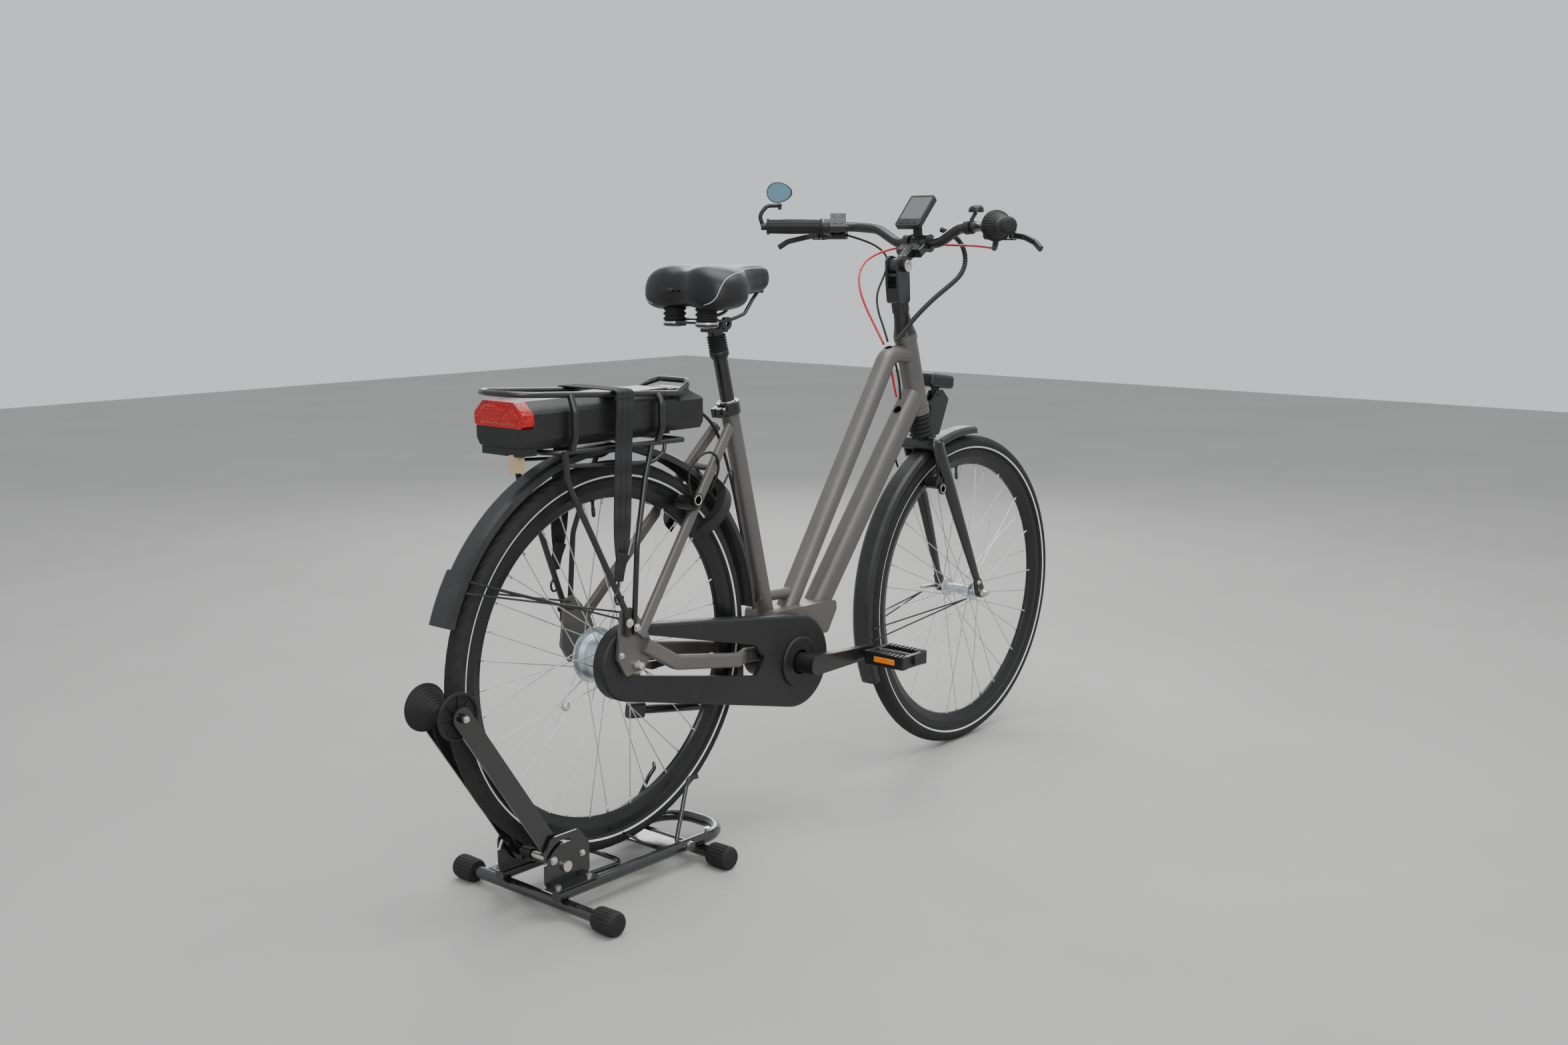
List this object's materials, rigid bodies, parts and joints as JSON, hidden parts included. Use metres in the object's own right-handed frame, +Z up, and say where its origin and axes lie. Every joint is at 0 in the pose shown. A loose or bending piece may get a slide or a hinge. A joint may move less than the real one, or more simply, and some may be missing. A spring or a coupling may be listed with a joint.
{
  "type": "bicycle on stand",
  "caption": "Step-through city bicycle with a rack battery, chain case and sprung saddle, its rear wheel held in a tubular roller stand.",
  "frame": {"origin": "on the floor, at the middle of the length and of the width", "axes": "+X forward towards the front wheel, +Y to the rider's left, +Z up"},
  "size_m": [1.844, 0.681, 1.2516],
  "materials": {
    "frame_paint": "matte metallic",
    "black_paint": "satin",
    "gloss_black": "gloss",
    "black_plastic": "matte",
    "guard_plastic": "matte",
    "battery_shell": "satin",
    "rubber": "matte",
    "tyre": "matte",
    "rim_black": "anodised",
    "hub_silver": "satin",
    "steel": "brushed",
    "zinc": "zinc plated",
    "lamp_red": "gloss",
    "saddle_skin": "satin",
    "webbing": "woven",
    "cable_black": "matte",
    "mirror_glass": "polished"
  },
  "bodies": {
    "stand": {"stand_frame": "gloss_black", "stand_feet": "rubber", "stand_side_plates": "gloss_black", "stand_bolts": "zinc"},
    "lift_arm": {"stand_arm": "gloss_black"},
    "rollers": {"stand_rollers": "black_plastic"},
    "bicycle": {"main_frame": "frame_paint", "seat_clamp": "black_paint", "rear_stays": "frame_paint", "drive_unit": "black_plastic", "chain_case": "black_plastic", "chain": "steel", "rear_mudguard": "guard_plastic", "rack": "black_paint", "rack_straps": "webbing", "battery_dock": "battery_shell", "ring_lock": "black_plastic", "rear_brake": "black_plastic", "rear_axle": "zinc", "frame_cables": "cable_black"},
    "battery_pack": {"battery": "battery_shell", "tail_light": "lamp_red"},
    "shackle": {"lock_shackle": "steel"},
    "rear_wheel": {"rear_tyre": "tyre", "rear_rim": "rim_black", "rear_spokes": "steel", "rear_hub": "hub_silver"},
    "sprocket": {"rear_sprocket": "steel"},
    "crank": {"crankset": "black_paint"},
    "right_pedal": {"pedal_right": "black_plastic"},
    "left_pedal": {"pedal_left": "black_plastic"},
    "side_stand": {"kickstand": "black_paint"},
    "seat_tube_post": {"seatpost": "black_paint"},
    "sprung_head": {"post_head": "black_paint"},
    "seat": {"saddle": "saddle_skin", "saddle_frame": "black_paint"},
    "steering": {"stem_post": "black_paint"},
    "front_fork": {"fork": "black_paint", "front_mudguard": "guard_plastic", "front_brake": "black_plastic", "front_axle": "steel"},
    "front_lamp": {"headlight": "black_plastic"},
    "front_wheel": {"front_tyre": "tyre", "front_rim": "rim_black", "front_spokes": "steel", "front_hub": "hub_silver"},
    "handlebars": {"stem_arm": "black_paint", "handlebar": "black_paint", "grips": "rubber", "bar_clamps": "black_plastic", "switch_unit": "black_plastic", "bell": "black_plastic", "control_cables": "cable_black"},
    "rocker": {"switch_rocker": "black_plastic"},
    "left_lever": {"brake_lever_left": "black_paint"},
    "right_lever": {"brake_lever_right": "black_paint"},
    "shifter": {"twist_shifter": "rubber"},
    "mirror_stalk": {"mirror_arm": "black_plastic"},
    "mirror": {"mirror_head": "mirror_glass"},
    "screen": {"display": "black_plastic"}
  },
  "joints": [
    {"name": "bike_lift", "type": "slide", "parent": "stand", "child": "bicycle", "axis": [0, 0, 1], "range_m": [0, 0.35]},
    {"name": "lift_arm_swing", "type": "hinge", "parent": "stand", "child": "lift_arm", "pos_m": [-0.6825, 0, 0.084], "axis": [0, 1, 0], "range_deg": [-34, 0]},
    {"name": "roller_spin", "type": "hinge", "parent": "lift_arm", "child": "rollers", "pos_m": [-0.8825, 0, 0.387], "axis": [0, 1, 0], "continuous": true},
    {"name": "rear_wheel_spin", "type": "hinge", "parent": "bicycle", "child": "rear_wheel", "pos_m": [-0.5225, 0, 0.406], "axis": [0, 1, 0], "continuous": true},
    {"name": "front_wheel_spin", "type": "hinge", "parent": "front_fork", "child": "front_wheel", "pos_m": [0.5735, 0, 0.349], "axis": [0, 1, 0], "continuous": true},
    {"name": "crank_spin", "type": "hinge", "parent": "bicycle", "child": "crank", "pos_m": [-0.0735, 0, 0.32], "axis": [0, 1, 0], "continuous": true},
    {"name": "sprocket_spin", "type": "hinge", "parent": "bicycle", "child": "sprocket", "pos_m": [-0.5225, 0, 0.406], "axis": [0, 1, 0], "continuous": true},
    {"name": "right_pedal_spin", "type": "hinge", "parent": "crank", "child": "right_pedal", "pos_m": [0.0945, 0, 0.315], "axis": [0, 1, 0], "continuous": true},
    {"name": "left_pedal_spin", "type": "hinge", "parent": "crank", "child": "left_pedal", "pos_m": [-0.2415, 0, 0.325], "axis": [0, 1, 0], "continuous": true},
    {"name": "kickstand_swing", "type": "hinge", "parent": "bicycle", "child": "side_stand", "pos_m": [-0.1505, 0.05, 0.285], "axis": [0, -1, 0], "range_deg": [0, 95]},
    {"name": "battery_slide", "type": "slide", "parent": "bicycle", "child": "battery_pack", "axis": [-1, 0, 0], "range_m": [0, 0.3]},
    {"name": "lock_turn", "type": "hinge", "parent": "bicycle", "child": "shackle", "pos_m": [-0.28633, 0, 0.64217], "axis": [0.7071, 0, -0.7071], "range_deg": [-98, 0]},
    {"name": "seat_height", "type": "slide", "parent": "bicycle", "child": "seat_tube_post", "axis": [-0.2412, 0, 0.9705], "range_m": [-0.08, 0.06]},
    {"name": "seat_suspension", "type": "slide", "parent": "seat_tube_post", "child": "sprung_head", "axis": [-0.2412, 0, 0.9705], "range_m": [-0.03, 0], "stiffness_N_per_m": 20000, "springref_m": 0.003},
    {"name": "saddle_tilt", "type": "hinge", "parent": "sprung_head", "child": "seat", "pos_m": [-0.23668, 0, 0.98057], "axis": [0, 1, 0], "range_deg": [-8, 8]},
    {"name": "steering_turn", "type": "hinge", "parent": "bicycle", "child": "steering", "pos_m": [0.4025, 0, 0.7635], "axis": [-0.2902, 0, 0.957], "range_deg": [-60, 60], "deforming": ["control_cables"]},
    {"name": "fork_suspension", "type": "slide", "parent": "steering", "child": "front_fork", "axis": [-0.2902, 0, 0.957], "range_m": [0, 0.03], "stiffness_N_per_m": 9000, "springref_m": -0.02},
    {"name": "headlight_tilt", "type": "hinge", "parent": "front_fork", "child": "front_lamp", "pos_m": [0.4625, 0, 0.798], "axis": [0, 1, 0], "range_deg": [-8, 8]},
    {"name": "stem_tilt", "type": "hinge", "parent": "steering", "child": "handlebars", "pos_m": [0.3225, 0, 1.076], "axis": [0, -1, 0], "range_deg": [-8, 40], "deforming": ["control_cables"]},
    {"name": "rocker_press", "type": "slide", "parent": "handlebars", "child": "rocker", "axis": [0.6402, 0.5111, -0.5736], "range_m": [0, 0.001], "stiffness_N_per_m": 400, "springref_m": -0.0005},
    {"name": "left_brake_pull", "type": "hinge", "parent": "handlebars", "child": "left_lever", "pos_m": [0.36713, 0.24954, 1.139], "axis": [0, 0, 1], "range_deg": [0, 18], "stiffness_Nm_per_rad": 1, "springref_deg": -5.73},
    {"name": "right_brake_pull", "type": "hinge", "parent": "handlebars", "child": "right_lever", "pos_m": [0.36713, -0.24954, 1.139], "axis": [0, 0, -1], "range_deg": [0, 18], "stiffness_Nm_per_rad": 1, "springref_deg": -5.73},
    {"name": "shifter_twist", "type": "hinge", "parent": "handlebars", "child": "shifter", "pos_m": [0.30369, -0.26068, 1.157], "axis": [-0.624, -0.7814, 0], "range_deg": [-35, 60]},
    {"name": "mirror_arm_turn", "type": "hinge", "parent": "handlebars", "child": "mirror_stalk", "pos_m": [0.26251, 0.31225, 1.157], "axis": [-0.624, 0.7814, 0], "range_deg": [-25, 25]},
    {"name": "mirror_tilt", "type": "hinge", "parent": "mirror_stalk", "child": "mirror", "pos_m": [0.28939, 0.29416, 1.202], "axis": [0, 0, 1], "range_deg": [-18, 18]},
    {"name": "display_tilt", "type": "hinge", "parent": "handlebars", "child": "screen", "pos_m": [0.3945, 0, 1.122], "axis": [0, 1, 0], "range_deg": [-10, 10]}
  ],
  "couplings": [
    {"joint": "sprocket_spin", "follows": "crank_spin", "ratio": 1.5833},
    {"joint": "lift_arm_swing", "follows": "bike_lift", "rad_per_m": -1.65}
  ]
}
